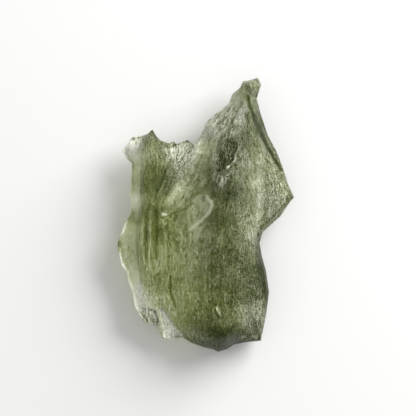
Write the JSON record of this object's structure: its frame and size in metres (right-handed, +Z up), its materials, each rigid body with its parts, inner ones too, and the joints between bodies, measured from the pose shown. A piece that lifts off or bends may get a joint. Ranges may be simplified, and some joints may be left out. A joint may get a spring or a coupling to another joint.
{
  "type": "moldavite",
  "caption": "Loose shard of natural green glass with a notched and beaked outline, an etched and furrowed face and a small flat spot below to lie on.",
  "frame": {"origin": "on the resting plane, under the middle of the stone's box", "axes": "+Z up from the flat spot below to the furrowed face, +Y along the stone towards its beak, +X towards its wing"},
  "size_m": [0.0205, 0.0319, 0.0069],
  "materials": {
    "moldavite_glass": "natural olive green glass, see-through at its thin edges, etched and lightly frosted"
  },
  "bodies": {
    "root": {"moldavite": "moldavite_glass"}
  },
  "joints": []
}
